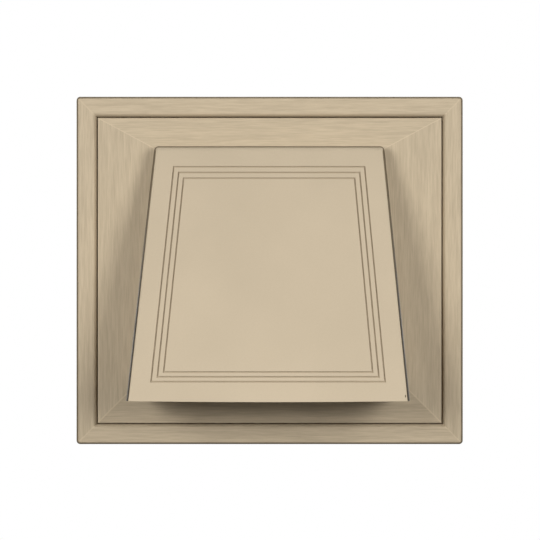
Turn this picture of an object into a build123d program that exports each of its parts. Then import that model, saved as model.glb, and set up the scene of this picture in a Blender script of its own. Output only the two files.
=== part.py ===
"""Hooded exhaust vent for a four inch duct, for siding walls.

Every piece is drawn lying on its back: x across, y up the wall and z out from the wall.
stand() then turns it to the vent's own frame: +Z up, front towards -Y, wall plane at y = 0.
The origin is on the duct's axis at the wall plane. All sizes are in millimetres.
"""

import os
from math import atan, cos, degrees, hypot, radians, sin, tan

from build123d import *

# Duct collar and the tilted seat at its front end
collar_radius = 49.8
collar_wall = 2.2
collar_length = 60.0
collar_lead_in = 1.2
floor_thickness = 2.5
seat_height = 3.5
seat_tilt = 5.0

# Back-draft flap and its hinge
flap_overlap = 3.2
flap_thickness = 1.6
flap_rest_gap = 0.3
flap_rib = 1.2
flap_rib_height = 1.0
hinge_rise = 6.4
barrel_radius = 2.4
pin_radius = 1.5
pin_clearance = 0.05
ear_thickness = 2.5
ear_rim = 2.0
ear_gap = 0.5
ear_mouth = 2.5

# Hood, measured outwards from the duct
hood_headroom = 14.6
hood_foot = 16.2
hood_side_room_top = 9.6
hood_side_room_bottom = 19.5
hood_wall = 2.0
hood_step = 12.5
hood_projection = 104.0
hood_brow_radius = 5.0
hood_edge_radius = 2.4
lip_bow = 0.5
ledge_height = 20.0
hood_fit = 0.6

# Three pinstripe grooves in the hood's face, measured on the wall plane
groove_count = 3
groove_width = 0.8
groove_depth = 1.0
groove_margin_side = 11.6
groove_margin_top = 11.45
groove_margin_bottom = 9.95
groove_pitch_side = 2.92
groove_pitch_top = 3.1
groove_pitch_bottom = 2.37

# Snap tabs that hold the hood in the base
tab_width = 12.0
tab_reach = 9.0
tab_barb = 1.2
tab_barb_length = 3.5
tab_fit = 0.25
side_tab_offset = 30.0
top_tab_offset = 32.0

# Sloping picture-frame panel of the base
panel_run_top = 16.25
panel_run_bottom = 16.65
panel_run_side = 21.9
panel_slope_side = 9.5
panel_slope_top = 17.2
panel_slope_bottom = 9.5
panel_edge_drop = 1.5
base_wall = 2.0
sill_gap = 5.0
rib_thickness = 1.6
rib_recess = 4.0
rib_offset_side = 52.0
rib_offset_top = 8.0

# Clip-on trim ring
seam_gap = 0.7
ring_face = 10.9
ring_projection = 27.0
ring_wall = 2.0
ring_skirt = 17.0
ring_inner_skirt = 8.0
ring_inner_wall = 1.6
ring_outer_radius = 1.8
ring_inner_radius = 2.6
ring_corner_radius = 2.0
leg_width = 14.0
leg_thickness = 1.8
leg_reach = 21.0
leg_toe = 1.0
leg_tooth = 1.4
leg_tooth_height = 3.0
leg_fit = 0.3
leg_offset_x = 38.0
leg_offset_y = 30.0

# Nailing flange behind the ring
flange_thickness = 2.2
flange_inset = 1.0
flange_corner_radius = 3.0
nail_slot_width = 4.2
nail_slot_length = 24.0
nail_offset_x = 70.0
nail_offset_y = 60.0

# Worked-out sizes
hood_top = collar_radius + hood_headroom + hood_wall
hood_bottom = -(collar_radius + hood_foot)
hood_half_top = collar_radius + hood_side_room_top + hood_wall
hood_half_bottom = collar_radius + hood_side_room_bottom + hood_wall
hood_flare = (hood_half_bottom - hood_half_top) / (hood_top - hood_bottom)
flare_length = hypot(1, hood_flare)

base_top = hood_top + panel_run_top
base_bottom = hood_bottom - panel_run_bottom
base_half = hood_half_bottom + panel_run_side
base_middle = (base_top + base_bottom) / 2
base_rise = base_top - base_bottom

panel_edge = ring_projection - panel_edge_drop
panel_inner_top = panel_edge + panel_run_top * tan(radians(panel_slope_top))
plate_start = panel_inner_top + hood_step
plate_pitch = (hood_projection - plate_start) / (hood_top - hood_bottom)
plate_length = hypot(1, plate_pitch)

ring_half = base_half + seam_gap + ring_face
ring_rise = base_rise + 2 * (seam_gap + ring_face)
shoulder = seam_gap + ring_inner_wall - leg_fit
shoulder_height = ring_projection - ring_inner_skirt
leg_end = ring_projection - leg_reach
tooth_low = leg_end + leg_toe
tooth_high = tooth_low + leg_tooth_height

hinge_y = collar_radius + hinge_rise
seat_front = floor_thickness + seat_height
tilt = radians(seat_tilt)
hinge_z = seat_front - hinge_rise * tan(tilt) + (flap_rest_gap + flap_thickness / 2) / cos(tilt)
flap_radius = collar_radius + flap_overlap

reach = 2 * (ring_half + ring_rise + hood_projection + collar_length)


def stand(piece):
    """Turn a piece drawn on its back so that it stands on the wall, front towards -Y."""
    return Plane.XZ.location * piece


def block(x0, x1, y0, y1, z0, z1):
    """Box between two corners."""
    return Pos((x0 + x1) / 2, (y0 + y1) / 2, (z0 + z1) / 2) * Box(x1 - x0, y1 - y0, z1 - z0)


def column(face, low, high):
    """Straight column over a face, between two heights above the wall."""
    return Pos(0, 0, low) * extrude(face, amount=high - low)


def half_width(y):
    """Half the hood's width at a height on the wall."""
    return hood_half_top + (hood_top - y) * hood_flare


def hood_outline(side, top, bottom, bow=0.0):
    """Hood's trapezium moved inwards on its sides, top and bottom, with a bowed lower edge."""
    high = hood_top - top
    low = hood_bottom + bottom
    upper = half_width(high) - side * flare_length
    lower = half_width(low + bow) - side * flare_length
    outline = Polyline((-lower, low + bow), (-upper, high), (upper, high), (lower, low + bow))
    if bow > 0:
        foot = ThreePointArc((lower, low + bow), (0, low), (-lower, low + bow))
    else:
        foot = Line((lower, low), (-lower, low))
    return make_face([outline, foot])


def side_profile(points):
    """Wide prism over a profile drawn in y and z."""
    return extrude(Plane.YZ * make_face(Polyline(*points, close=True)), amount=reach / 2, both=True)


def plate_line(y, drop=0.0):
    """Height of the hood's face at y, or of a face parallel to it that lies deeper by drop."""
    return plate_start + (hood_top - y) * plate_pitch - drop * plate_length


def under_plate(top, brow, drop):
    """Wide prism of all that lies behind the hood's face, with a rounded brow at its top."""
    low = hood_bottom - hood_projection
    corner = (top, plate_line(top, drop))
    face = make_face(
        Polyline((top, -collar_length), corner, (low, plate_line(low, drop)), (low, -collar_length), close=True)
    )
    brow_vertex = face.vertices().sort_by_distance((*corner, 0))[0]
    face = fillet(brow_vertex, brow)
    return extrude(Plane.YZ * face, amount=reach / 2, both=True)


def hip_block(inset):
    """Solid under the four planes of the sloping panel, moved inwards by a wall thickness."""
    edge = panel_edge
    low = base_bottom + inset
    high = base_top - inset
    half = base_half - inset

    def height(run, slope):
        return edge + run * tan(radians(slope)) - inset / cos(radians(slope))

    far = base_rise
    upright = side_profile(
        [
            (low, 0),
            (low, height(inset, panel_slope_bottom)),
            (low + far, height(inset + far, panel_slope_bottom)),
            (low + far, 0),
        ]
    )
    upright &= side_profile(
        [
            (high, 0),
            (high, height(inset, panel_slope_top)),
            (high - far, height(inset + far, panel_slope_top)),
            (high - far, 0),
        ]
    )
    peak = height(inset + half, panel_slope_side)
    across = make_face(
        Polyline(
            (-half, 0),
            (-half, height(inset, panel_slope_side)),
            (0, peak),
            (half, height(inset, panel_slope_side)),
            (half, 0),
            close=True,
        )
    )
    # the profile lies in x and z, so it is stood up and pulled along y
    sideways = extrude(Plane.XZ * across, amount=reach / 2, both=True)
    return upright & sideways


def outline_rect(grow):
    """Rectangle round the base's outer wall, grown on every side."""
    return Pos(0, base_middle) * Rectangle(2 * (base_half + grow), base_rise + 2 * grow)


def around(make_x, make_y):
    """Pieces repeated on the top and bottom rails and on both side rails."""
    pieces = []
    for side in (1, -1):
        for place in (1, -1):
            pieces.append(make_x(side, place))
            pieces.append(make_y(side, place))
    return pieces


def rail_box(side, place, upright, offset, width, inner, outer, low, high):
    """Box on one rail, between two distances outside the base's wall."""
    lo = offset * place - width / 2
    hi = offset * place + width / 2
    if upright:
        a, b = sorted((side * (base_half + inner), side * (base_half + outer)))
        return block(a, b, base_middle + lo, base_middle + hi, low, high)
    wall = base_rise / 2
    a, b = sorted((side * (wall + inner), side * (wall + outer)))
    return block(lo, hi, base_middle + a, base_middle + b, low, high)


def rail_set(width, offset_x, offset_y, inner, outer, low, high):
    """The same box at the eight places of the ring's legs."""
    return around(
        lambda side, place: rail_box(side, place, False, offset_x, width, inner, outer, low, high),
        lambda side, place: rail_box(side, place, True, offset_y, width, inner, outer, low, high),
    )


def tab_zones(grow):
    """Boxes that pick the six places of the hood's snap tabs, two on each wall."""
    half = tab_width / 2 + grow
    zones = []
    for side in (1, -1):
        centre = side * top_tab_offset
        zones.append(block(centre - half, centre + half, collar_radius, base_top, 0, plate_start))
        for place in (1, -1):
            level = place * side_tab_offset
            a, b = sorted((side * collar_radius, side * base_half))
            zones.append(block(a, b, level - half, level + half, 0, plate_start))
    return zones


def picked(piece, zones):
    """Parts of a piece that lie in any of the zones."""
    cut = []
    for zone in zones:
        cut += (piece & zone).solids()
    return cut


def make_hood():
    """Flared hood, open below, with rounded edges, pinstripe grooves and snap tabs."""
    hood = column(hood_outline(0, 0, 0, lip_bow), ledge_height, hood_projection + hood_step)
    hood &= under_plate(hood_top, hood_brow_radius, 0)
    rims = []
    for edge in hood.edges():
        mid = edge @ 0.5
        on_side = abs(abs(mid.X) - half_width(mid.Y)) < 0.01
        between = hood_bottom + 2 * lip_bow < mid.Y
        if on_side and between and mid.Z > ledge_height + 0.01:
            rims.append(edge)
    hood = fillet(rims, hood_edge_radius)
    inside = column(hood_outline(hood_wall, hood_wall, -reach / 8), 0, hood_projection + hood_step)
    inside &= under_plate(hood_top - hood_wall, hood_brow_radius - hood_wall, hood_wall)
    hood -= inside
    for index in range(groove_count):
        side = groove_margin_side + index * groove_pitch_side
        top = groove_margin_top + index * groove_pitch_top
        bottom = groove_margin_bottom + index * groove_pitch_bottom
        half = groove_width / 2
        stripe = hood_outline(side - half, top - half, bottom - half)
        stripe -= hood_outline(side + half, top + half, bottom + half)
        cutter = column(stripe, 0, hood_projection + hood_step)
        low = hood_bottom - hood_step
        cutter &= side_profile(
            [
                (hood_top, plate_line(hood_top, groove_depth)),
                (low, plate_line(low, groove_depth)),
                (low, plate_line(low) + hood_step),
                (hood_top, plate_line(hood_top) + hood_step),
            ]
        )
        hood -= cutter
    band = hood_outline(0, 0, -hood_foot) - hood_outline(hood_wall, hood_wall, -2 * hood_foot)
    tabs = picked(column(band, ledge_height - tab_reach, ledge_height), tab_zones(0))
    barb_top = ledge_height - base_wall - tab_fit
    slant = degrees(atan(tab_barb / tab_barb_length))
    wedge = Pos(0, 0, barb_top) * extrude(
        hood_outline(-tab_barb, -tab_barb, -hood_foot), amount=-tab_barb_length, taper=slant
    )
    wedge -= column(hood_outline(0, 0, -2 * hood_foot), 0, ledge_height)
    barbs = picked(wedge, tab_zones(0))
    for piece in tabs + barbs:
        hood += piece
    return hood


def make_base():
    """Nailing flange, stepped wall, sloping panel, well, sill, duct collar and hinge ears."""
    solid = hip_block(0)
    base = solid - hip_block(base_wall)
    lower = outline_rect(shoulder) - outline_rect(shoulder - base_wall)
    base += column(lower, 0, shoulder_height)
    ledge = outline_rect(shoulder) - outline_rect(-base_wall)
    base += column(ledge, shoulder_height - base_wall, shoulder_height)

    flange = Pos(0, base_middle) * RectangleRounded(
        2 * (ring_half - flange_inset), ring_rise - 2 * flange_inset, flange_corner_radius
    )
    flange -= outline_rect(shoulder - base_wall)
    base += column(flange, 0, flange_thickness)

    # well that takes the hood's walls, and the narrower throat below its ledge
    sill_start = -(collar_radius + sill_gap)
    mouth_y = hood_bottom - hood_fit
    mouth_z = panel_edge + (mouth_y - base_bottom) * tan(radians(panel_slope_bottom))
    sill_pitch = (sill_start - mouth_y) / (mouth_z - floor_thickness)
    sill_deep = base_wall * hypot(1, sill_pitch)

    def sill(z, drop=0.0):
        return sill_start - (z - floor_thickness) * sill_pitch - drop

    top_z = hood_projection
    over_sill = side_profile([(sill(0), 0), (sill(top_z), top_z), (base_top, top_z), (base_top, 0)])
    over_sill_back = side_profile(
        [(sill(0, sill_deep), 0), (sill(top_z, sill_deep), top_z), (base_top, top_z), (base_top, 0)]
    )
    upper = hood_outline(-hood_fit - base_wall, -hood_fit - base_wall, -hood_fit - base_wall)
    well = column(upper, ledge_height - base_wall, top_z)
    throat = column(hood_outline(hood_wall - base_wall, hood_wall - base_wall, -hood_foot), 0, top_z)
    throat &= over_sill_back
    well = (well + throat) & solid

    ribs = []
    for side in (1, -1):
        for place in (1, -1):
            x = side * rib_offset_side
            a, b = sorted((0, place * base_rise))
            ribs.append(block(x - rib_thickness / 2, x + rib_thickness / 2, a, b, rib_recess, top_z))
            y = place * rib_offset_top
            a, b = sorted((0, side * base_half))
            ribs.append(block(a, b, y - rib_thickness / 2, y + rib_thickness / 2, rib_recess, top_z))
    for rib in ribs:
        base += rib & solid
    base += well

    pocket = hood_outline(-hood_fit, -hood_fit, -hood_fit)
    pocket = fillet(pocket.vertices().sort_by(Axis.Y)[-2:], hood_edge_radius + hood_fit)
    pocket -= hood_outline(hood_wall + hood_fit, hood_wall + hood_fit, -reach / 8)
    base -= column(pocket, ledge_height, top_z)
    passage = column(hood_outline(hood_wall, hood_wall, -hood_foot), floor_thickness, top_z)
    base -= passage & over_sill

    # tab slots through the ledge and the throat wall
    slot = hood_outline(-hood_fit, -hood_fit, -hood_foot)
    slot -= hood_outline(hood_wall + hood_fit, hood_wall + hood_fit, -2 * hood_foot)
    slot = column(slot, ledge_height - tab_reach - tab_fit, ledge_height)
    for piece in picked(slot, tab_zones(tab_fit)):
        base -= piece
    free = hood_outline(-hood_fit - base_wall, -hood_fit - base_wall, -hood_foot)
    free -= hood_outline(-hood_fit, -hood_fit, -2 * hood_foot)
    free = column(free, ledge_height - tab_reach - tab_fit, ledge_height - base_wall)
    for piece in picked(free, tab_zones(tab_fit)):
        base -= piece

    # duct collar with its tilted seat
    collar = column(Circle(collar_radius), -collar_length, seat_front + reach / 8)
    collar &= side_profile(
        [
            (-reach / 4, -reach / 4),
            (-reach / 4, seat_front + (collar_radius + reach / 4) * tan(tilt)),
            (reach / 4, seat_front + (collar_radius - reach / 4) * tan(tilt)),
            (reach / 4, -reach / 4),
        ]
    )
    tail = collar.faces().sort_by(Axis.Z)[0]
    collar = chamfer(tail.edges(), collar_lead_in)
    base += collar
    base -= column(Circle(collar_radius - collar_wall), -2 * collar_length, hood_projection)

    # snap-in ears for the flap's pins
    ear_round = pin_radius + pin_clearance + ear_rim
    ear = make_face(
        Polyline(
            (hinge_y - ear_round, floor_thickness / 2),
            (hinge_y - ear_round, hinge_z),
            (hinge_y + ear_round, hinge_z),
            (hinge_y + ear_round, floor_thickness / 2),
            close=True,
        )
    )
    ear += Pos(hinge_y, hinge_z) * Circle(ear_round)
    ear -= Pos(hinge_y, hinge_z) * Circle(pin_radius + pin_clearance)
    ear -= Pos(hinge_y, hinge_z + ear_round) * Rectangle(ear_mouth, 2 * ear_round)
    for side in (1, -1):
        start = flap_radius + ear_gap if side > 0 else -flap_radius - ear_gap - ear_thickness
        base += Pos(start, 0, 0) * extrude(Plane.YZ * ear, amount=ear_thickness)

    # windows for the ring's legs and slots for the nails
    windows = rail_set(
        leg_width + 2 * leg_fit,
        leg_offset_x,
        leg_offset_y,
        shoulder - base_wall - leg_fit,
        shoulder + leg_fit,
        tooth_low - leg_fit,
        tooth_high + leg_fit,
    )
    for window in windows:
        base -= window
    strip = (ring_half - flange_inset - base_half + shoulder) / 2
    for side in (1, -1):
        for place in (1, -1):
            flat = SlotOverall(nail_slot_length, nail_slot_width)
            level = base_middle + side * (base_rise / 2 + strip)
            base -= column(Pos(place * nail_offset_x, level) * flat, -flange_thickness, 2 * flange_thickness)
            upright = Pos(side * (base_half + strip), base_middle + place * nail_offset_y) * Rot(0, 0, 90) * flat
            base -= column(upright, -flange_thickness, 2 * flange_thickness)
    return base


def make_ring():
    """Clip-on trim ring: rounded face, outer skirt, inner skirt and eight snap legs."""
    outer = Pos(0, base_middle) * RectangleRounded(2 * ring_half, ring_rise, ring_corner_radius)
    ring = column(outer, ring_projection - ring_skirt, ring_projection)
    ring = fillet(ring.faces().sort_by(Axis.Z)[-1].edges(), ring_outer_radius)
    ring -= column(outline_rect(seam_gap), 0, 2 * ring_projection)
    front = ring.faces().sort_by(Axis.Z)[-1]
    ring = fillet(front.inner_wires()[0].edges(), ring_inner_radius)
    hollow = outline_rect(seam_gap + ring_face - ring_wall) - outline_rect(seam_gap + ring_inner_wall)
    ring -= column(hollow, 0, ring_projection - ring_wall)
    ring -= column(outline_rect(seam_gap + ring_inner_wall), 0, shoulder_height)
    inner = seam_gap + ring_inner_wall
    outer_face = inner + leg_thickness
    roof = ring_projection - ring_wall / 2
    for leg in rail_set(leg_width, leg_offset_x, leg_offset_y, inner, outer_face, leg_end, roof):
        ring += leg
    teeth = rail_set(
        leg_width,
        leg_offset_x,
        leg_offset_y,
        inner - leg_tooth - leg_fit,
        inner,
        tooth_low,
        tooth_high,
    )
    for tooth in teeth:
        ring += tooth
    return ring


def make_flap():
    """Round-ended flap with a stiffening rim and cross ribs, a hinge barrel and two stub pins."""
    drop = (hinge_rise + collar_radius) / cos(tilt)
    outline = Pos(0, -drop) * Circle(flap_radius)
    outline += Pos(0, -drop / 2) * Rectangle(2 * flap_radius, drop)
    inside = Pos(0, -drop) * Circle(flap_radius - flap_rib)
    inside += Pos(0, -drop / 2) * Rectangle(2 * (flap_radius - flap_rib), drop)
    half = flap_thickness / 2
    flap = column(outline, -half, half)
    flap += column(outline - inside, half, half + flap_rib_height)
    spine = Pos(0, -(drop + flap_radius) / 2) * Rectangle(flap_rib, drop + flap_radius)
    bar = Pos(0, -drop) * Rectangle(2 * flap_radius, flap_rib)
    flap += column((spine + bar) & outline, half, half + flap_rib_height)
    flap += Rot(0, 90, 0) * Cylinder(barrel_radius, 2 * flap_radius)
    flap += Rot(0, 90, 0) * Cylinder(pin_radius, 2 * (flap_radius + ear_gap + ear_thickness + ear_gap))
    place = Plane(origin=(0, hinge_y, hinge_z), x_dir=(1, 0, 0), z_dir=(0, sin(tilt), cos(tilt)))
    return place.location * flap


os.makedirs("parts", exist_ok=True)
pieces = {
    "mounting_base": make_base(),
    "trim_ring": make_ring(),
    "hood": make_hood(),
    "damper_flap": make_flap(),
}
for name, piece in pieces.items():
    export_step(stand(piece), f"parts/{name}.step")
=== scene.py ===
import math

import bmesh
import bpy
from mathutils import Matrix, Vector

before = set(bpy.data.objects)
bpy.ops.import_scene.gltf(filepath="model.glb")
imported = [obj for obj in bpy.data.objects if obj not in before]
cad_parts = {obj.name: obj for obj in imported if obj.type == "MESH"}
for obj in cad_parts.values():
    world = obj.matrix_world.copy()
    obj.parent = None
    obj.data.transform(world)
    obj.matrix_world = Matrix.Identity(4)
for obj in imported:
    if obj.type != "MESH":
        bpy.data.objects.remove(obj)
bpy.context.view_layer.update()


def reach(name, axis):
    """How far a piece of the frame goes from the origin along an axis."""
    return max(abs(vertex.co[axis]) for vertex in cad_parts[name].data.vertices)


# Sizes of the part that the finishes follow, in metres
RING_HALF = reach("trim_ring", 0)
RING_TOP = reach("trim_ring", 2)
LIP_REACH = reach("hood", 1)
PANEL_HALF = 0.0932
PANEL_TOP = 0.08265
PANEL_SIDE_SLOPE = math.tan(math.radians(9.5))
PANEL_TOP_SLOPE = math.tan(math.radians(17.2))
HOOD_TOP = 0.0664
HOOD_BOTTOM = -0.0660
HOOD_HALF_TOP = 0.0614
HOOD_HALF_BOTTOM = 0.0713
FACE_TOP_REACH = 0.04303
HOOD_FLARE = (HOOD_HALF_BOTTOM - HOOD_HALF_TOP) / (HOOD_TOP - HOOD_BOTTOM)
FACE_PITCH = (LIP_REACH - FACE_TOP_REACH) / (HOOD_TOP - HOOD_BOTTOM)

# Tones of the plastic, from its darkest to its lightest shade
SMOOTH_DARK = (0.520, 0.431, 0.308)
SMOOTH_LIGHT = (0.570, 0.472, 0.338)
GRAINED_DARK = (0.523, 0.428, 0.297)
GRAINED_LIGHT = (0.573, 0.469, 0.326)
# Painted shade on rounded edges that turn away from the viewer, lighter above and darker low on the hood
PAINTED_EDGE_SHADE = (0.180, 0.140, 0.088)
PAINTED_LOW_EDGE_SHADE = (0.040, 0.030, 0.017)
# Painted shade in the hood's pinstripe grooves
PAINTED_GROOVE_SHADE = (0.430, 0.350, 0.245)
# Tone of the dark speck on the hood
SPECK = (0.080, 0.062, 0.035)
GRAINED_ROUGHNESS = 0.62
HOOD_ROUGHNESS = 0.55
FLAP_ROUGHNESS = 0.5
SHINE = 0.15

# Scales of the wood grain for each metre: along it, across it and into the surface
FINE_GRAIN = (85, 1500, 60)
BROAD_GRAIN = (20, 420, 30)
GRAIN_PORES = (45, 1500, 60)
# Shares of the fine grain, the broad grain and the pores in the grain's height and in its tone
HEIGHT_SHARES = (0.6, 0.5, -0.35)
TONE_SHARES = (0.65, 0.35, -0.12)
PORE_LEVELS = (0.60, 0.74)
GRAIN_DEPTH = 0.00012
GRAIN_STRENGTH = 0.8
# How far forwards a surface looks where its grain begins and where it is full
GRAIN_FRONT = (0.55, 0.85)
# Shades of the grain and of the mitres against the plastic's own, and roughness in the grain and on it
GRAIN_DARKER = 0.91
GRAIN_LIGHTER = 1.04
MITRE_LIGHTER = 1.16
GRAIN_MATTE = 0.12
GRAIN_SHEEN = 0.08

# Scales of the moulded texture for each metre
FINE_MOULDING = 1400
PEEL_MOULDING = 260
CLOUD_MOULDING = 16
MOULDING_DEPTH = 0.00002
MOULDING_STRENGTH = 0.5
MOULDING_SHEEN = 0.06

# Half widths of the pale lines on the mitres, where they are full and where they end
MITRE_CORE = 0.0002
MITRE_END = 0.00075
# Rise over which the grain changes its lie at a mitre, and the strength of the pale lines
RAIL_CHANGE = 1e-5
PANEL_LINE = 0.65
RING_LINE = 0.4

# Depths behind the hood's face between which a groove lies, and how far it stays from the hood's edges
GROOVE_TOP = (0.0001, 0.0006)
GROOVE_FLOOR = (0.0012, 0.0016)
GROOVE_INSET = (0.007, 0.008)

# Width of the border inside a box that still counts as its outside, where it is full and where it ends
BORDER = (0.004, 0.006)
# How far forwards a rounded edge must still look to count, and the lean over which Lift sets in
EDGE_FRONT = (0.05, 0.20)
EDGE_LEAN = 0.1
# Settings of the painted edge shade, which the edge shade group explains, and the heights over which it
# darkens down the hood
RING_EDGE_SHADE = {
    "Start": 0.97,
    "Full": 0.84,
    "Half": RING_HALF,
    "Rise": RING_TOP,
    "Inner": 0.3,
    "Turned": 0.03,
    "Hidden": 0.16,
}
HOOD_EDGE_SHADE = {"Start": 0.90, "Full": 0.80, "Lift": 0.62, "Turned": 0.10, "Hidden": 0.25}
EDGE_SHADE_FADE = (0.05, -0.03)

# The one dark speck by the hood's lower right corner: its middle, half its size, and where its mask is full
SPECK_X = 0.0690
SPECK_Z = -0.0631
SPECK_HALF = 0.0004
SPECK_RISE = 0.0009
SPECK_FRONT = (0.2, 0.3)
SPECK_CORE = 0.4


def feed(tree, socket, value):
    """Link an output into an input, or set the input to a plain value."""
    if isinstance(value, bpy.types.NodeSocket):
        tree.links.new(value, socket)
    else:
        socket.default_value = value


def opaque(tone):
    """A tone as a colour that hides what is under it."""
    return (*tone, 1)


def math_node(tree, operation, a, b=None):
    """Math node whose inputs are sockets or plain numbers."""
    node = tree.nodes.new("ShaderNodeMath")
    node.operation = operation
    feed(tree, node.inputs[0], a)
    if b is not None:
        feed(tree, node.inputs[1], b)
    return node.outputs[0]


def weighted(tree, *shares):
    """Sum of values that are each taken by a share."""
    parts = [math_node(tree, "MULTIPLY", value, share) for value, share in shares]
    total = parts[0]
    for part in parts[1:]:
        total = math_node(tree, "ADD", total, part)
    return total


def smooth(tree, value, low, high):
    """Smooth step from 0 at low to 1 at high, where high may be the smaller one."""
    node = tree.nodes.new("ShaderNodeMapRange")
    node.interpolation_type = "SMOOTHSTEP"
    feed(tree, node.inputs["Value"], value)
    feed(tree, node.inputs["From Min"], low)
    feed(tree, node.inputs["From Max"], high)
    return node.outputs["Result"]


def by_tone(tree, tone):
    """Stretch a noise tone, which stays near one half, over 0 to 1."""
    return smooth(tree, tone, 0.25, 0.75)


def mix(tree, kind, factor, a, b):
    """Mix of two values, kind FLOAT, or of two colours, kind RGBA."""
    node = tree.nodes.new("ShaderNodeMix")
    node.data_type = kind
    feed(tree, node.inputs["Factor"], factor)
    feed(tree, node.inputs["A"], a)
    feed(tree, node.inputs["B"], b)
    return node.outputs["Result"]


def shade(tree, tone, dark, light):
    """Colour between two shades by a noise tone."""
    return mix(tree, "RGBA", by_tone(tree, tone), opaque(dark), opaque(light))


def spread(tree, tone, low, high):
    """Value between two limits by a noise tone."""
    return math_node(tree, "ADD", math_node(tree, "MULTIPLY", by_tone(tree, tone), high - low), low)


def split(tree, vector):
    """The X, Y and Z of a vector."""
    node = tree.nodes.new("ShaderNodeSeparateXYZ")
    feed(tree, node.inputs[0], vector)
    return node.outputs["X"], node.outputs["Y"], node.outputs["Z"]


def forwards(tree, normal):
    """How far a surface looks towards the front: 1 square to it and 0 side on."""
    return math_node(tree, "MULTIPLY", split(tree, normal)[1], -1.0)


def distance(tree, a, b):
    """How far two values are apart."""
    return math_node(tree, "ABSOLUTE", math_node(tree, "SUBTRACT", a, b))


def stretched_noise(tree, vector, scale, detail, roughness, distortion=0.0):
    """Noise on Object coordinates that are stretched by a scale for each axis."""
    stretch = tree.nodes.new("ShaderNodeVectorMath")
    stretch.operation = "MULTIPLY"
    feed(tree, stretch.inputs[0], vector)
    feed(tree, stretch.inputs[1], scale)
    noise = tree.nodes.new("ShaderNodeTexNoise")
    feed(tree, noise.inputs["Vector"], stretch.outputs[0])
    feed(tree, noise.inputs["Scale"], 1.0)
    feed(tree, noise.inputs["Detail"], detail)
    feed(tree, noise.inputs["Roughness"], roughness)
    feed(tree, noise.inputs["Distortion"], distortion)
    return noise.outputs["Fac"]


def bump(tree, height, depth, strength, normal=None):
    """Normal of a surface that is raised by a height, on top of an earlier normal if there is one."""
    node = tree.nodes.new("ShaderNodeBump")
    feed(tree, node.inputs["Height"], height)
    feed(tree, node.inputs["Distance"], depth)
    feed(tree, node.inputs["Strength"], strength)
    if normal is not None:
        feed(tree, node.inputs["Normal"], normal)
    return node.outputs["Normal"]


def new_group(name, vectors, values, outputs):
    """Empty node group with vector inputs, value inputs with their defaults, and value outputs."""
    tree = bpy.data.node_groups.new(name, "ShaderNodeTree")
    for label in vectors:
        tree.interface.new_socket(label, in_out="INPUT", socket_type="NodeSocketVector")
    for label, default in values.items():
        socket = tree.interface.new_socket(label, in_out="INPUT", socket_type="NodeSocketFloat")
        socket.default_value = default
    for label in outputs:
        tree.interface.new_socket(label, in_out="OUTPUT", socket_type="NodeSocketFloat")
    given = tree.nodes.new("NodeGroupInput")
    out = tree.nodes.new("NodeGroupOutput")
    return tree, given.outputs, out.inputs


def use_group(tree, group, inputs):
    """Place a node group, feed its inputs by name and give its outputs."""
    node = tree.nodes.new("ShaderNodeGroup")
    node.node_tree = group
    for label, value in inputs.items():
        feed(tree, node.inputs[label], value)
    return node.outputs


def level(scale):
    """Grain scales put on X, Y and Z for grain that lies along X."""
    along, across, into = scale
    return (along, into, across)


def upright(scale):
    """Grain scales put on X, Y and Z for grain that lies along Z."""
    along, across, into = scale
    return (across, into, along)


def grain_layer(tree, vector, lie):
    """Height and tone of wood grain that lies one way."""
    fine = stretched_noise(tree, vector, lie(FINE_GRAIN), detail=2.0, roughness=0.6, distortion=0.1)
    broad = stretched_noise(tree, vector, lie(BROAD_GRAIN), detail=2.0, roughness=0.5, distortion=0.2)
    spots = stretched_noise(tree, vector, lie(GRAIN_PORES), detail=1.0, roughness=0.5)
    layers = (fine, broad, smooth(tree, spots, *PORE_LEVELS))
    height = weighted(tree, *zip(layers, HEIGHT_SHARES))
    tone = weighted(tree, *zip(layers, TONE_SHARES))
    return height, tone


def grain_group():
    """Embossed wood grain, which lies along X where Along is 1 and along Z where it is 0."""
    tree, given, out = new_group("wood_grain", ["Vector"], {"Along": 1.0}, ["Height", "Tone"])
    standing = grain_layer(tree, given["Vector"], upright)
    lying = grain_layer(tree, given["Vector"], level)
    for label, a, b in zip(("Height", "Tone"), standing, lying):
        feed(tree, out[label], mix(tree, "FLOAT", given["Along"], a, b))
    return tree


def moulded_group():
    """Fine moulded texture of bare plastic."""
    tree, given, out = new_group("moulded_texture", ["Vector"], {}, ["Height", "Tone"])
    fine = stretched_noise(tree, given["Vector"], (FINE_MOULDING,) * 3, detail=2.0, roughness=0.6)
    peel = stretched_noise(tree, given["Vector"], (PEEL_MOULDING,) * 3, detail=2.0, roughness=0.5)
    cloud = stretched_noise(tree, given["Vector"], (CLOUD_MOULDING,) * 3, detail=3.0, roughness=0.55)
    feed(tree, out["Height"], weighted(tree, (fine, 0.5), (peel, 0.5)))
    feed(tree, out["Tone"], weighted(tree, (cloud, 0.7), (fine, 0.3)))
    return tree


def mitre_group(name, half, top, side_slope, top_slope, bottom_slope):
    """Rails of a mitred frame: Along is 1 on the top and bottom rails, and Line marks the mitres.

    The rails are planes that rise inwards from the frame's edges by their slopes, and meet in the mitres.
    """
    tree, given, out = new_group(name, ["Vector"], {}, ["Along", "Line"])
    x, _, z = split(tree, given["Vector"])
    from_side = math_node(tree, "SUBTRACT", half, math_node(tree, "ABSOLUTE", x))
    from_top = math_node(tree, "SUBTRACT", top, z)
    from_bottom = math_node(tree, "ADD", z, top)
    side = math_node(tree, "MULTIPLY", from_side, side_slope)
    upper = math_node(tree, "MULTIPLY", from_top, top_slope)
    lower = math_node(tree, "MULTIPLY", from_bottom, bottom_slope)
    gap = math_node(tree, "SUBTRACT", side, math_node(tree, "MINIMUM", upper, lower))
    feed(tree, out["Along"], smooth(tree, gap, -RAIL_CHANGE, RAIL_CHANGE))
    apart = math_node(tree, "ABSOLUTE", gap)
    feed(tree, out["Line"], smooth(tree, apart, MITRE_END * side_slope, MITRE_CORE * side_slope))
    return tree


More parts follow.
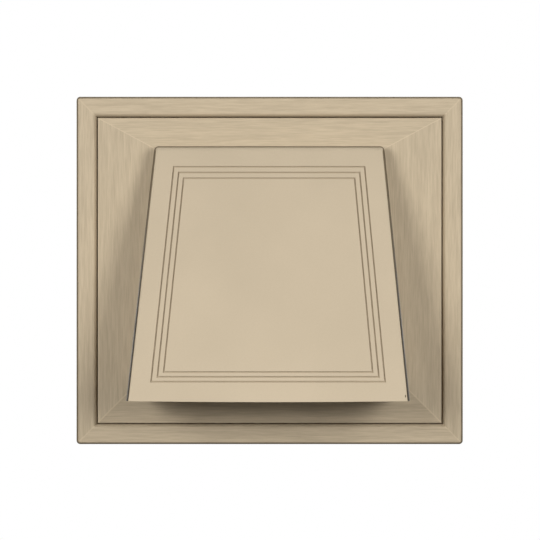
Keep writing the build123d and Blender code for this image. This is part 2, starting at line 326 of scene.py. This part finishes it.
def edge_shade_group():
    """Mask of the painted shade on the rounded front edges that turn away from the viewer.

    It begins where the surface looks forwards by Start and is full at Full, and Lift makes it begin later on
    edges that face up or down. Facing is how far the surface turns away from the viewer, which counts from
    Turned on and fully at Hidden. Well inside the box of Half by Rise the mask is only Inner.
    """
    settings = {
        "Facing": 0.0,
        "Start": 0.9,
        "Full": 0.7,
        "Lift": 1.0,
        "Half": 0.0,
        "Rise": 0.0,
        "Inner": 0.0,
        "Turned": 0.03,
        "Hidden": 0.16,
    }
    tree, given, out = new_group("painted_edge_shade", ["Vector", "Normal"], settings, ["Mask"])
    front = forwards(tree, given["Normal"])
    turn_x, _, turn_z = split(tree, given["Normal"])
    steep = math_node(tree, "ABSOLUTE", turn_z)
    lean = math_node(tree, "SUBTRACT", steep, math_node(tree, "ABSOLUTE", turn_x))
    lying = smooth(tree, lean, -EDGE_LEAN, EDGE_LEAN)
    later = mix(tree, "FLOAT", lying, 1.0, given["Lift"])
    start = math_node(tree, "MULTIPLY", given["Start"], later)
    full = math_node(tree, "MULTIPLY", given["Full"], later)
    turning = smooth(tree, front, start, full)
    rounding = math_node(tree, "MULTIPLY", turning, smooth(tree, front, *EDGE_FRONT))
    away = smooth(tree, given["Facing"], given["Turned"], given["Hidden"])
    x, _, z = split(tree, given["Vector"])
    past_side = math_node(tree, "SUBTRACT", math_node(tree, "ABSOLUTE", x), given["Half"])
    past_top = math_node(tree, "SUBTRACT", math_node(tree, "ABSOLUTE", z), given["Rise"])
    border_full, border_end = BORDER
    outer = smooth(tree, math_node(tree, "MAXIMUM", past_side, past_top), -border_end, -border_full)
    share = mix(tree, "FLOAT", outer, given["Inner"], 1.0)
    band = math_node(tree, "MULTIPLY", rounding, away)
    feed(tree, out["Mask"], math_node(tree, "MULTIPLY", band, share))
    return tree


def groove_group():
    """Mask of the pinstripe grooves, where shade is painted: what lies a little behind the hood's face, away
    from its edges.
    """
    tree, given, out = new_group("hood_grooves", ["Vector"], {}, ["Mask"])
    x, y, z = split(tree, given["Vector"])
    below = math_node(tree, "SUBTRACT", HOOD_TOP, z)
    face = math_node(tree, "ADD", math_node(tree, "MULTIPLY", below, FACE_PITCH), FACE_TOP_REACH)
    behind = math_node(tree, "DIVIDE", math_node(tree, "ADD", face, y), math.hypot(1, FACE_PITCH))
    floor_full, floor_end = GROOVE_FLOOR
    under = smooth(tree, behind, *GROOVE_TOP)
    sunk = math_node(tree, "MULTIPLY", under, smooth(tree, behind, floor_end, floor_full))
    half = math_node(tree, "ADD", math_node(tree, "MULTIPLY", below, HOOD_FLARE), HOOD_HALF_TOP)
    from_side = math_node(tree, "SUBTRACT", half, math_node(tree, "ABSOLUTE", x))
    from_lip = math_node(tree, "SUBTRACT", z, HOOD_BOTTOM)
    inset = math_node(tree, "MINIMUM", from_side, math_node(tree, "MINIMUM", below, from_lip))
    feed(tree, out["Mask"], math_node(tree, "MULTIPLY", sunk, smooth(tree, inset, *GROOVE_INSET)))
    return tree


def speck_group():
    """Mask of the dark speck on the hood, an upright oval on what faces forwards."""
    tree, given, out = new_group("corner_speck", ["Vector", "Normal"], {}, ["Mask"])
    x, _, z = split(tree, given["Vector"])
    across = math_node(tree, "DIVIDE", distance(tree, x, SPECK_X), SPECK_HALF)
    upwards = math_node(tree, "DIVIDE", distance(tree, z, SPECK_Z), SPECK_RISE)
    squares = [math_node(tree, "MULTIPLY", value, value) for value in (across, upwards)]
    away = math_node(tree, "SQRT", math_node(tree, "ADD", *squares))
    front = smooth(tree, forwards(tree, given["Normal"]), *SPECK_FRONT)
    feed(tree, out["Mask"], math_node(tree, "MULTIPLY", front, smooth(tree, away, 1.0, SPECK_CORE)))
    return tree


GRAIN = grain_group()
MOULDED = moulded_group()
EDGE_SHADE = edge_shade_group()
GROOVES = groove_group()
SPECKS = speck_group()
PANEL_RAILS = mitre_group(
    "panel_mitres", PANEL_HALF, PANEL_TOP, PANEL_SIDE_SLOPE, PANEL_TOP_SLOPE, PANEL_SIDE_SLOPE
)
RING_RAILS = mitre_group("ring_mitres", RING_HALF, RING_TOP, 1.0, 1.0, 1.0)


class Plastic:
    """Matte plastic that is built up in layers: the bare moulding first, then what its piece needs."""

    def __init__(self, name, dark, light, roughness):
        self.material = bpy.data.materials.new(name)
        self.material.use_nodes = True
        self.tree = self.material.node_tree
        coords = self.tree.nodes.new("ShaderNodeTexCoord")
        self.place = coords.outputs["Object"]
        self.turn = coords.outputs["Normal"]
        self.dark = dark
        self.light = light
        self.roughness = roughness
        bare = use_group(self.tree, MOULDED, {"Vector": self.place})
        self.colour = shade(self.tree, bare["Tone"], dark, light)
        self.normal = bump(self.tree, bare["Height"], MOULDING_DEPTH, MOULDING_STRENGTH)
        self.gloss = spread(self.tree, bare["Tone"], roughness - MOULDING_SHEEN, roughness + MOULDING_SHEEN)

    def tint(self, mask, colour):
        """Lay a colour over the colour so far, where the mask is."""
        self.colour = mix(self.tree, "RGBA", mask, self.colour, colour)

    def grain(self, rails, line):
        """Wood grain along each rail of a frame, on what faces forwards, and a pale line on each mitre."""
        tree = self.tree
        rail = use_group(tree, rails, {"Vector": self.place})
        grain = use_group(tree, GRAIN, {"Vector": self.place, "Along": rail["Along"]})
        front = smooth(tree, forwards(tree, self.turn), *GRAIN_FRONT)
        dark = [channel * GRAIN_DARKER for channel in self.dark]
        light = [channel * GRAIN_LIGHTER for channel in self.light]
        pale = [channel * MITRE_LIGHTER for channel in self.light]
        self.tint(front, shade(tree, grain["Tone"], dark, light))
        mitres = math_node(tree, "MULTIPLY", rail["Line"], math_node(tree, "MULTIPLY", front, line))
        self.tint(mitres, opaque(pale))
        strength = math_node(tree, "MULTIPLY", front, GRAIN_STRENGTH)
        self.normal = bump(tree, grain["Height"], GRAIN_DEPTH, strength, self.normal)
        grained = spread(tree, grain["Tone"], self.roughness + GRAIN_MATTE, self.roughness - GRAIN_SHEEN)
        self.gloss = mix(tree, "FLOAT", front, self.gloss, grained)

    def grooves(self, tone):
        """Painted shade in the pinstripe grooves of the hood."""
        mask = use_group(self.tree, GROOVES, {"Vector": self.place})["Mask"]
        self.tint(mask, opaque(tone))

    def edges(self, settings, upper, lower):
        """Painted shade where rounded edges turn away from the viewer, one tone above and another below."""
        view = self.tree.nodes.new("ShaderNodeLayerWeight")
        feed(self.tree, view.inputs["Blend"], 0.5)
        inputs = {"Vector": self.place, "Normal": self.turn, "Facing": view.outputs["Facing"]}
        mask = use_group(self.tree, EDGE_SHADE, inputs | settings)["Mask"]
        down = smooth(self.tree, split(self.tree, self.place)[2], *EDGE_SHADE_FADE)
        self.tint(mask, mix(self.tree, "RGBA", down, opaque(upper), opaque(lower)))

    def speck(self, tone):
        """The dark speck of the hood."""
        mask = use_group(self.tree, SPECKS, {"Vector": self.place, "Normal": self.turn})["Mask"]
        self.tint(mask, opaque(tone))

    def finished(self):
        """The material, with its layers fed into the surface."""
        surface = self.tree.nodes["Principled BSDF"]
        feed(self.tree, surface.inputs["Base Color"], self.colour)
        feed(self.tree, surface.inputs["Normal"], self.normal)
        feed(self.tree, surface.inputs["Roughness"], self.gloss)
        feed(self.tree, surface.inputs["Specular IOR Level"], SHINE)
        return self.material


def base_plastic():
    plastic = Plastic("base_plastic", GRAINED_DARK, GRAINED_LIGHT, GRAINED_ROUGHNESS)
    plastic.grain(PANEL_RAILS, PANEL_LINE)
    return plastic.finished()


def ring_plastic():
    plastic = Plastic("ring_plastic", GRAINED_DARK, GRAINED_LIGHT, GRAINED_ROUGHNESS)
    plastic.grain(RING_RAILS, RING_LINE)
    plastic.edges(RING_EDGE_SHADE, PAINTED_EDGE_SHADE, PAINTED_EDGE_SHADE)
    return plastic.finished()


def hood_plastic():
    plastic = Plastic("hood_plastic", SMOOTH_DARK, SMOOTH_LIGHT, HOOD_ROUGHNESS)
    plastic.grooves(PAINTED_GROOVE_SHADE)
    plastic.edges(HOOD_EDGE_SHADE, PAINTED_EDGE_SHADE, PAINTED_LOW_EDGE_SHADE)
    plastic.speck(SPECK)
    return plastic.finished()


def flap_plastic():
    return Plastic("flap_plastic", SMOOTH_DARK, SMOOTH_LIGHT, FLAP_ROUGHNESS).finished()


finishes = {
    "mounting_base": base_plastic(),
    "trim_ring": ring_plastic(),
    "hood": hood_plastic(),
    "damper_flap": flap_plastic(),
}
for name, finish in finishes.items():
    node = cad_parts[name]
    node.data.materials.clear()
    node.data.materials.append(finish)

# Where the lamps aim: the middle of the hood, the middle of the base at the wall, and the hood's mouth
HOOD_MIDDLE = (0, -0.05, 0.0)
BASE_MIDDLE = (0, 0.0, 0.0)
MOUTH = (0, -0.06, -0.02)


def area_light(name, place, target, size, watts):
    """Soft rectangular lamp at a place, turned to a target."""
    lamp = bpy.data.lights.new(name, "AREA")
    lamp.shape = "RECTANGLE"
    lamp.size, lamp.size_y = size
    lamp.energy = watts
    holder = bpy.data.objects.new(name, lamp)
    bpy.context.collection.objects.link(holder)
    holder.location = place
    aim = Vector(target) - Vector(place)
    holder.rotation_euler = aim.to_track_quat("-Z", "Y").to_euler()


def lamp_pair(name, place, target, size, watts):
    """The same lamp on the right, where its place is given, and mirrored on the left."""
    across, depth, height = place
    left, right = watts
    area_light(name + "_left", (-across, depth, height), target, size, left)
    area_light(name + "_right", (across, depth, height), target, size, right)


lamp_pair("softbox", (0.42, -0.94, 0.17), HOOD_MIDDLE, size=(0.30, 0.28), watts=(3.85, 4.0))
lamp_pair("fill", (0.22, -0.72, 0.02), HOOD_MIDDLE, size=(0.16, 0.16), watts=(0.75, 0.77))
lamp_pair("top", (0.34, -0.43, 1.09), HOOD_MIDDLE, size=(0.4, 0.4), watts=(1.0, 1.0))
lamp_pair("back", (0.85, 0.8, 0.3), BASE_MIDDLE, size=(0.5, 0.5), watts=(7.0, 7.0))
area_light("back_top", (0.0, 0.75, 0.95), BASE_MIDDLE, size=(0.5, 0.5), watts=5.0)
area_light("under", (0.0, 0.40, -1.5), MOUTH, size=(0.5, 0.5), watts=3.0)

FLOOR_HEIGHT = -2.0
FLOOR_REACH = 1.0
FLOOR_GREY = (0.8, 0.8, 0.8)
FLOOR_ROUGHNESS = 0.8
FLOOR_WHITE = 0.97


def pale_floor():
    """Plain pale floor well below the vent, near white to the camera."""
    low = Matrix.Translation((0, 0, FLOOR_HEIGHT))
    shape = bmesh.new()
    bmesh.ops.create_grid(shape, x_segments=1, y_segments=1, size=FLOOR_REACH, matrix=low)
    mesh = bpy.data.meshes.new("floor")
    shape.to_mesh(mesh)
    shape.free()
    floor = bpy.data.objects.new("floor", mesh)
    bpy.context.collection.objects.link(floor)
    material = bpy.data.materials.new("pale_floor")
    material.use_nodes = True
    tree = material.node_tree
    surface = tree.nodes["Principled BSDF"]
    feed(tree, surface.inputs["Base Color"], opaque(FLOOR_GREY))
    feed(tree, surface.inputs["Roughness"], FLOOR_ROUGHNESS)
    bright = tree.nodes.new("ShaderNodeEmission")
    path = tree.nodes.new("ShaderNodeLightPath")
    both = tree.nodes.new("ShaderNodeMixShader")
    feed(tree, both.inputs[0], math_node(tree, "MULTIPLY", path.outputs["Is Camera Ray"], FLOOR_WHITE))
    feed(tree, both.inputs[1], surface.outputs[0])
    feed(tree, both.inputs[2], bright.outputs[0])
    feed(tree, tree.nodes["Material Output"].inputs["Surface"], both.outputs[0])
    mesh.materials.append(material)


pale_floor()

SEEN_WHITE = 1.0
AMBIENT_LIGHT = 0.01


def white_studio():
    """World that looks white, also in reflections, but gives the vent hardly any light."""
    world = bpy.data.worlds.new("studio")
    bpy.context.scene.world = world
    world.use_nodes = True
    tree = world.node_tree
    path = tree.nodes.new("ShaderNodeLightPath").outputs
    mirrored = math_node(tree, "MAXIMUM", path["Is Glossy Ray"], path["Is Transmission Ray"])
    seen = math_node(tree, "MAXIMUM", path["Is Camera Ray"], mirrored)
    background = tree.nodes["Background"]
    feed(tree, background.inputs["Strength"], mix(tree, "FLOAT", seen, AMBIENT_LIGHT, SEEN_WHITE))
    feed(tree, background.inputs["Color"], opaque((1, 1, 1)))


white_studio()

CAMERA_PLACE = (0.011, -1.051, 0.0)
CAMERA_SENSOR_MM = 36.0
CAMERA_LENS_MM = 126.0
CAMERA_SHIFT = (-0.0369, 0.0008)


def front_camera():
    """Camera that looks straight at the vent's front, as in the photograph."""
    lens = bpy.data.cameras.new("camera")
    lens.sensor_width = CAMERA_SENSOR_MM
    lens.lens = CAMERA_LENS_MM
    lens.shift_x, lens.shift_y = CAMERA_SHIFT
    camera = bpy.data.objects.new("camera", lens)
    bpy.context.collection.objects.link(camera)
    camera.location = CAMERA_PLACE
    camera.rotation_euler = (math.radians(90), 0, 0)
    bpy.context.scene.camera = camera


front_camera()
bpy.context.scene.view_settings.view_transform = "Standard"
